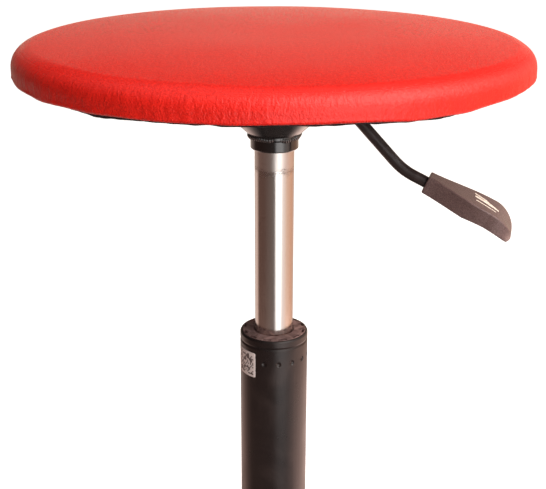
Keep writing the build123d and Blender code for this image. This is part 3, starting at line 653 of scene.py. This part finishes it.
def cloth_height(radius, turn):
    """Underside of the dust cover: on the board, then under the hem, held by staples, loose at its rim."""
    board = dust_high.z - cloth_thickness
    hem = pad_low.z - cloth_under_hem
    onto_hem = smooth_step(radius, hem_inner - 9 * MM, hem_inner + 1 * MM)
    height = board + (hem - board) * onto_hem
    square = max(abs(math.cos(turn)), abs(math.sin(turn))) * radius
    clear_of_plate = smooth_step(square, plate_high.x + 1 * MM, plate_high.x + 14 * MM)
    free = clear_of_plate * (1 - smooth_step(radius, hem_inner - 18 * MM, hem_inner))
    spot = Vector((radius * math.cos(turn) * 22, radius * math.sin(turn) * 22, 2.0))
    height -= free * (0.9 + 0.8 * noise.noise(spot)) * MM
    outside = smooth_step(radius, staple_circle + 1 * MM, cloth_radius)
    between = 0.5 - 0.5 * math.cos(turn * staple_count)  # 0 at a staple, 1 between two
    hang = 0.9 + 0.4 * between + bells(loose_stretches, turn) + bells(hem_sags, turn)
    height -= outside * (hang + 0.7 * wave(turn, 0.2, 16.0, 21.0)) * MM
    belly = between * math.exp(-(((radius - staple_circle) / belly_width) ** 2))
    return height - belly_depth * belly


def add_dust_cloth():
    segments = 480
    coarse_shares = (0.25, 0.4, 0.46, 0.5, 0.55, 0.6, 0.65, 0.7, 0.75, 0.8, 0.84)
    first_fine = 0.87 * cloth_radius
    fine_steps = 14
    radii = [cloth_radius * share for share in coarse_shares]
    for step in range(fine_steps + 1):
        radii.append(first_fine + (cloth_radius - first_fine) * step / fine_steps)

    def place(row, turn):
        radius, lift = row
        ragged = raggedness * (wave(turn, 0.7, 60.0, 13.0) + wave(turn, 0.1, 20.0, 14.0))
        radius += ragged * smooth_step(radius, cloth_radius - 4 * MM, cloth_radius)
        height = cloth_height(radius, turn) + lift
        return (radius * math.cos(turn), radius * math.sin(turn), height)

    rows = [(0.0, cloth_thickness)]
    rows += [(radius, cloth_thickness) for radius in radii]
    rows += [(radius, 0.0) for radius in reversed(radii)]
    rows.append((0.0, 0.0))
    cloth = turned_mesh("dust_cloth", rows, segments, place)
    cloth.data.materials.append(dust_cloth_finish())
    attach(cloth, "seat")
    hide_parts("dust_cover")


# ---------------------------------------------------------------- weld round the socket
weld_size = 2.5 * MM
weld_radius = socket_high.x - 2.1 * MM
weld_height = plate_low.z - 1.1 * MM
ripple_pitch = 1.7 * MM


def add_socket_weld(material):
    """A hand run fillet weld: overlapping ripples round a tube, wandering a little in height and width."""
    ripples = int(math.tau * weld_radius / ripple_pitch)
    points_per_ripple = 8
    points_across = 14

    def place(turn, side):
        angle = math.tau * turn
        phase = (turn * ripples) % 1.0
        scallop = 1.0 - 0.22 * (2 * phase - 1) ** 2
        thick = weld_size * (scallop + 0.4 * wave(angle, 0.0, 2.6, 3.0))
        rise = 0.5 * weld_size * wave(angle, 0.0, 2.2, 6.0)
        around = math.tau * side
        bulge = Vector((math.cos(around), math.sin(around)))
        out = weld_radius + thick * (0.25 + bulge.x * 0.85)
        up = weld_height + rise + thick * bulge.y * 0.95
        return (out * math.cos(angle), out * math.sin(angle), up)

    bead = ring_mesh("socket_weld", ripples * points_per_ripple, points_across, place)
    bead.data.materials.append(material)
    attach(bead, "seat")


# ---------------------------------------------------------------- sticker on the column
label_columns = 15  # cells of the print
label_rows = 15
label_first = -153.0  # headings of its two sides, in degrees
label_last = -109.0
label_tall = 19.6 * MM
label_high = tube_high.z - 11.0 * MM
label_low = label_high - label_tall
label_wide = math.radians(label_last - label_first) * tube_radius
label_front = 0.12 * MM  # distances of its two faces from the tube
label_back = 0.02 * MM
label_corner = 1.2 * MM
label_curl = 0.5 * MM  # lift of its loose corner
label_margin = 0.09  # border without print, as a share of the side


def rounded(x, z):
    """A place on the sticker, moved in where it lies outside the rounding of a corner."""
    near_x = min(x, label_wide - x)
    near_z = min(z, label_tall - z)
    if near_x >= label_corner or near_z >= label_corner:
        return x, z
    push = Vector((label_corner - near_x, label_corner - near_z))
    if push.length <= label_corner:
        return x, z
    push *= label_corner / push.length
    left = x < label_wide / 2
    below = z < label_tall / 2
    new_x = label_corner - push.x if left else label_wide - label_corner + push.x
    new_z = label_corner - push.y if below else label_tall - label_corner + push.y
    return new_x, new_z


def add_label():
    """A thin sticker wrapped on the column, with rounded corners and one corner lifting."""
    across = 40
    down = 24
    vertices = []
    places = []
    for layer in (label_front, label_back):
        for row in range(down + 1):
            for column in range(across + 1):
                u = column / across
                v = row / down
                x, z = rounded(u * label_wide, v * label_tall)
                lift = label_curl * smooth_step(u + 1 - v, 1.9, 2.0) if layer == label_front else 0.0
                angle = math.radians(label_first) + x / tube_radius
                reach = tube_radius + layer + lift
                vertices.append((reach * math.cos(angle), reach * math.sin(angle), label_low + z))
                places.append((u, v))
    faces = []
    stride = across + 1
    second = stride * (down + 1)
    for row in range(down):
        for column in range(across):
            here = row * stride + column
            faces.append((here, here + 1, here + 1 + stride, here + stride))
            back = second + here
            faces.append((back, back + stride, back + 1 + stride, back + 1))
    edge = list(range(across))
    edge += [row * stride + across for row in range(down)]
    edge += [down * stride + column for column in range(across, 0, -1)]
    edge += [row * stride for row in range(down, 0, -1)]
    for here, there in zip(edge, edge[1:] + edge[:1]):
        faces.append((here, second + here, second + there, there))
    label = mesh_object("tube_label", vertices, faces)
    uv = label.data.uv_layers.new(name="UVMap")
    printed = 1 - 2 * label_margin
    for loop in label.data.loops:
        u, v = places[loop.vertex_index]
        column = (u - label_margin) / printed * label_columns
        row = (v - label_margin) / printed * label_rows
        uv.data[loop.index].uv = (column, row)
    label.data.materials.append(label_finish())
    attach(label, "base")


# ---------------------------------------------------------------- mark on the handle
handle_slope = math.radians(24.7)
tip_direction = Vector((math.cos(handle_slope), 0, -math.sin(handle_slope)))
up_direction = Vector((math.sin(handle_slope), 0, math.cos(handle_slope)))
handle_thickness = 12.8 * MM
print_proud = 0.12 * MM
print_sunk = -0.2 * MM
print_step = 1.5  # usual length of a piece of a bar, in mm
mark_bars = (  # along the handle and its two edges there, in mm: a forked arrow, then a bar
    ((33.0, 9.5, 7.3), (41.0, 6.4, 4.0)),
    ((33.6, 4.8, 1.8), (41.0, 3.4, -0.3)),
    ((41.0, 6.4, -0.3), (43.0, 4.9, -1.2), (44.5, 3.0, -1.8), (52.0, -1.4, -3.2)),
    ((35.0, -3.2, -4.7), (50.0, -7.2, -8.5)),
)


def add_handle_mark():
    """Raised white print on the handle: a generic forked arrow towards its tip, and a bar."""
    tree = BVHTree.FromObject(nodes["lever_handle"], bpy.context.evaluated_depsgraph_get())
    above = Vector((handle_low.x + 20 * MM, 0, handle_high.z + 100 * MM))
    probe = tree.ray_cast(above, Vector((0, 0, -1)))[0]
    inner = handle_low.x + handle_thickness * math.sin(handle_slope)
    start = probe - tip_direction * ((probe.x - inner) / tip_direction.x)

    def on_top(along, beside, lift):
        spot = start + (tip_direction * along + Vector((0, beside, 0))) * MM
        hit = tree.ray_cast(spot + up_direction * 20 * MM, -up_direction)[0]
        return hit + up_direction * lift

    def stamp(outline):
        base = len(vertices)
        count = len(outline)
        for lift in (print_proud, print_sunk):
            vertices.extend(on_top(along, beside, lift) for along, beside in outline)
        faces.append(tuple(range(base, base + count)))
        faces.append(tuple(range(base + 2 * count - 1, base + count - 1, -1)))
        for step in range(count):
            after = (step + 1) % count
            faces.append((base + step, base + count + step, base + count + after, base + after))

    vertices = []
    faces = []
    for bar in mark_bars:
        for first, last in zip(bar, bar[1:]):
            steps = max(1, round((last[0] - first[0]) / print_step))
            cuts = []
            for step in range(steps + 1):
                cuts.append([a + (b - a) * step / steps for a, b in zip(first, last)])
            for (near, near_top, near_low), (far, far_top, far_low) in zip(cuts, cuts[1:]):
                stamp([(near, near_low), (far, far_low), (far, far_top), (near, near_top)])
    mark = mesh_object("handle_arrows", vertices, faces, smooth=False)
    mark.data.materials.append(white_print())
    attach(mark, "lever")


# ---------------------------------------------------------------- finishes of the CAD pieces
def finish_cad_pieces(painted):
    """Give each CAD piece its finish. Those that the table leaves out are bright steel."""
    satin = black_paint_finish("black_satin", srgb(46, 36, 35), 0.3)
    column = column_black()
    chrome = chrome_tube()
    steel = bright_metal("bright_steel", srgb(198, 195, 190), 0.22)
    aluminium = bright_metal("aluminium", srgb(186, 188, 190), 0.3)
    zinc = zinc_finish()
    nylon = moulded("black_plastic", srgb(36, 32, 32), 0.46)
    handle = moulded(
        "handle_plastic", srgb(120, 95, 92), 0.36, grain=1900.0, strength=0.9, lighter=1.2, pit_shade=0.75
    )
    bush = bush_finish()
    grey = moulded("grey_plastic", srgb(120, 118, 114), 0.5)
    rubber = rubber_finish()
    wheel = wheel_finish()
    wood = plywood_finish()
    finishes = {
        "seat_board": wood,
        "seat_foam": foam_finish(),
        "seat_cover": painted,
        "dust_cover": rubber,
        "staples": zinc,
        "tee_nuts": zinc,
        "seat_screws": zinc,
        "seat_washers": zinc,
        "seat_plate": painted,
        "taper_socket": painted,
        "lever_bracket": painted,
        "lever_rod": satin,
        "lever_handle": handle,
        "lever_pivot": nylon,
        "pivot_clips": zinc,
        "inner_cylinder": chrome,
        "outer_tube": column,
        "guide_bush": bush,
        "hub_sleeve": steel,
        "base_star": nylon,
        "bump_stop": rubber,
        "rod_seal": rubber,
        "piston_ring": rubber,
        "piston": aluminium,
        "rod_guide": aluminium,
        "valve_body": aluminium,
        "working_tube": aluminium,
        "ball_cage": grey,
    }
    for name, piece in nodes.items():
        finish = finishes.get(name, steel)
        if name.startswith("caster_hood"):
            finish = nylon
        if name.startswith("caster_wheel"):
            finish = wheel
        if piece.material_slots:
            for holder in piece.material_slots:
                holder.material = finish
        else:
            piece.data.materials.append(finish)


# ---------------------------------------------------------------- floor, light and camera
sky_bands = (  # about level: degrees to the right of the camera, radiance, tint
    (-180.0, 1.10, (1.0, 0.88, 0.68)),
    (-160.0, 0.75, (1.0, 0.84, 0.64)),
    (-130.0, 0.12, (1.0, 0.60, 0.48)),
    (-60.0, 0.12, (1.0, 0.57, 0.46)),
    (-20.0, 0.16, (1.0, 0.75, 0.66)),
    (3.0, 0.22, (1.0, 0.87, 0.80)),
    (9.0, 3.10, (1.0, 0.98, 0.97)),
    (36.0, 3.10, (1.0, 0.97, 0.95)),
    (50.0, 1.20, (1.0, 0.90, 0.86)),
    (80.0, 0.95, (1.0, 0.68, 0.52)),
    (120.0, 0.80, (1.0, 0.55, 0.36)),
    (150.0, 0.70, (1.0, 0.84, 0.64)),
    (180.0, 1.10, (1.0, 0.88, 0.68)),
)
upper_bands = (  # the same above level, up to the dome
    (-180.0, 0.08, (1.0, 0.88, 0.80)),
    (-130.0, 0.06, (1.0, 0.70, 0.60)),
    (-60.0, 0.08, (1.0, 0.80, 0.74)),
    (-10.0, 0.18, (1.0, 0.92, 0.88)),
    (30.0, 1.40, (1.0, 0.94, 0.90)),
    (70.0, 0.80, (1.0, 0.92, 0.86)),
    (125.0, 0.90, (1.0, 0.84, 0.74)),
    (150.0, 0.16, (1.0, 0.84, 0.74)),
    (180.0, 0.08, (1.0, 0.88, 0.80)),
)
middle_bands = (  # the same a little below level, where the plated tube looks
    (-180.0, 0.60, (1.0, 0.90, 0.84)),
    (-122.0, 0.80, (1.0, 0.74, 0.64)),
    (-103.0, 0.13, (1.0, 0.55, 0.43)),
    (-60.0, 0.12, (1.0, 0.57, 0.46)),
    (-20.0, 0.16, (1.0, 0.75, 0.66)),
    (2.5, 0.20, (1.0, 0.87, 0.80)),
    (14.0, 2.00, (1.0, 0.98, 0.97)),
    (36.0, 2.40, (1.0, 0.97, 0.95)),
    (50.0, 1.10, (1.0, 0.90, 0.86)),
    (80.0, 0.90, (1.0, 0.68, 0.52)),
    (120.0, 0.80, (1.0, 0.55, 0.36)),
    (180.0, 0.60, (1.0, 0.90, 0.84)),
)
low_bands = (  # the same for what is seen well below the seat, without the soft box
    (-180.0, 0.80, (1.0, 0.80, 0.72)),
    (-118.0, 1.20, (1.0, 0.60, 0.50)),
    (-96.0, 0.46, (1.0, 0.64, 0.54)),
    (44.0, 0.26, (1.0, 0.80, 0.76)),
    (64.0, 1.50, (1.0, 0.72, 0.66)),
    (100.0, 2.90, (1.0, 0.68, 0.60)),
    (140.0, 2.20, (1.0, 0.70, 0.60)),
    (180.0, 0.80, (1.0, 0.80, 0.72)),
)
dome_radiance = 0.6
dome_tint = (1.0, 0.97, 0.95)
nadir_radiance = 0.14
nadir_tint = (1.0, 0.8, 0.76)
sky_strength = 4.0
# heights, as sines, between which one part of the light goes over into the next, from below upwards
nadir_to_low = (-0.86, -0.62)
low_to_middle = (-0.47, -0.42)
middle_to_sky = (-0.28, -0.2)
sky_to_upper = (0.0, 0.22)
upper_to_dome = (0.6, 0.85)


def add_sky():
    """Light from all round: soft box just right of the camera, dim to its left, warm to its right.
    The camera itself sees plain white behind the floor."""
    world = bpy.data.worlds.new("studio")
    world.use_nodes = True
    sky = Nodes(world.node_tree)
    turn = sky.node("ShaderNodeVectorRotate", rotation_type="Z_AXIS")
    sky.feed(turn.inputs["Vector"], sky.node("ShaderNodeTexCoord").outputs["Generated"])
    sky.feed(turn.inputs["Angle"], -camera_heading)
    x, y, z = sky.parts(turn.outputs[0])
    heading = sky.plus(sky.times(sky.math("ARCTAN2", y, x), 1 / math.tau), 0.5)

    def glow(radiance, tint):
        return (*(radiance / sky_strength * part for part in tint), 1.0)

    def all_round(bands):
        ramp = sky.node("ShaderNodeValToRGB")
        sky.feed(ramp.inputs["Fac"], heading)
        elements = ramp.color_ramp.elements
        while len(elements) < len(bands):
            elements.new(0.5)
        for element, (angle, radiance, tint) in zip(elements, bands):
            element.position = (angle + 180) / 360
            element.color = glow(radiance, tint)
        return ramp.outputs["Color"]

    def over(below, above, heights):
        return sky.mix(sky.spread(z, *heights), below, above)

    light = over(all_round(low_bands), all_round(middle_bands), low_to_middle)
    light = over(light, all_round(sky_bands), middle_to_sky)
    light = over(glow(nadir_radiance, nadir_tint), light, nadir_to_low)
    light = over(light, all_round(upper_bands), sky_to_upper)
    light = over(light, glow(dome_radiance, dome_tint), upper_to_dome)
    lit = world.node_tree.nodes["Background"]
    sky.feed(lit.inputs["Color"], light)
    sky.feed(lit.inputs["Strength"], sky_strength)
    plain = sky.node("ShaderNodeBackground")
    sky.feed(plain.inputs["Color"], (1.0, 1.0, 1.0, 1.0))
    seen = sky.node("ShaderNodeMixShader")
    sky.feed(seen.inputs[0], sky.node("ShaderNodeLightPath").outputs["Is Camera Ray"])
    sky.feed(seen.inputs[1], lit.outputs[0])
    sky.feed(seen.inputs[2], plain.outputs[0])
    sky.feed(world.node_tree.nodes["World Output"].inputs["Surface"], seen.outputs[0])
    bpy.context.scene.world = world


lamp_target = Vector((0, 0, 0.5))


def add_soft_box(name, heading, height, distance, size, power, color, glossy=False):
    """A square area light at a heading from the camera's own, aimed at the seat."""
    angle = camera_heading + math.radians(heading)
    place = Vector((distance * math.cos(angle), distance * math.sin(angle), height))
    data = bpy.data.lights.new(name, "AREA")
    data.shape = "SQUARE"
    data.size = size
    data.energy = power
    data.color = color
    lamp = bpy.data.objects.new(name, data)
    bpy.context.scene.collection.objects.link(lamp)
    lamp.location = place
    lamp.rotation_mode = "QUATERNION"
    lamp.rotation_quaternion = (place - lamp_target).to_track_quat("Z", "Y")
    lamp.visible_glossy = glossy


def add_floor():
    """A wide pale floor just under the wheels."""
    reach = 40.0
    height = -0.2 * MM
    signs = ((-1, -1), (1, -1), (1, 1), (-1, 1))
    corners = [(reach * across, reach * along, height) for across, along in signs]
    floor = mesh_object("floor", corners, [(0, 1, 2, 3)], smooth=False)
    floor.data.materials.append(floor_finish())
    floor.visible_glossy = False
    floor.visible_diffuse = False


def add_studio():
    add_floor()
    add_sky()
    add_soft_box("overhead", 55.0, 1.5, 0.8, 1.1, 16.5, (1.0, 0.96, 0.92), glossy=True)
    add_soft_box("right_front", 28.0, 0.55, 2.2, 1.6, 16.0, (1.0, 0.95, 0.92))
    add_soft_box("low_front", 12.0, 0.12, 1.9, 1.4, 8.0, (1.0, 0.95, 0.92))
    add_soft_box("right_rim", 112.0, 1.5, 1.7, 1.2, 12.0, (1.0, 0.62, 0.46))
    bpy.context.scene.view_settings.view_transform = "Standard"
    add_camera()


black_paint = black_paint_finish("black_steel", srgb(23, 17, 17), 0.2, coat=1.0)
finish_cad_pieces(black_paint)
add_seat_pad()
add_dust_cloth()
add_socket_weld(black_paint)
add_label()
add_handle_mark()
add_studio()
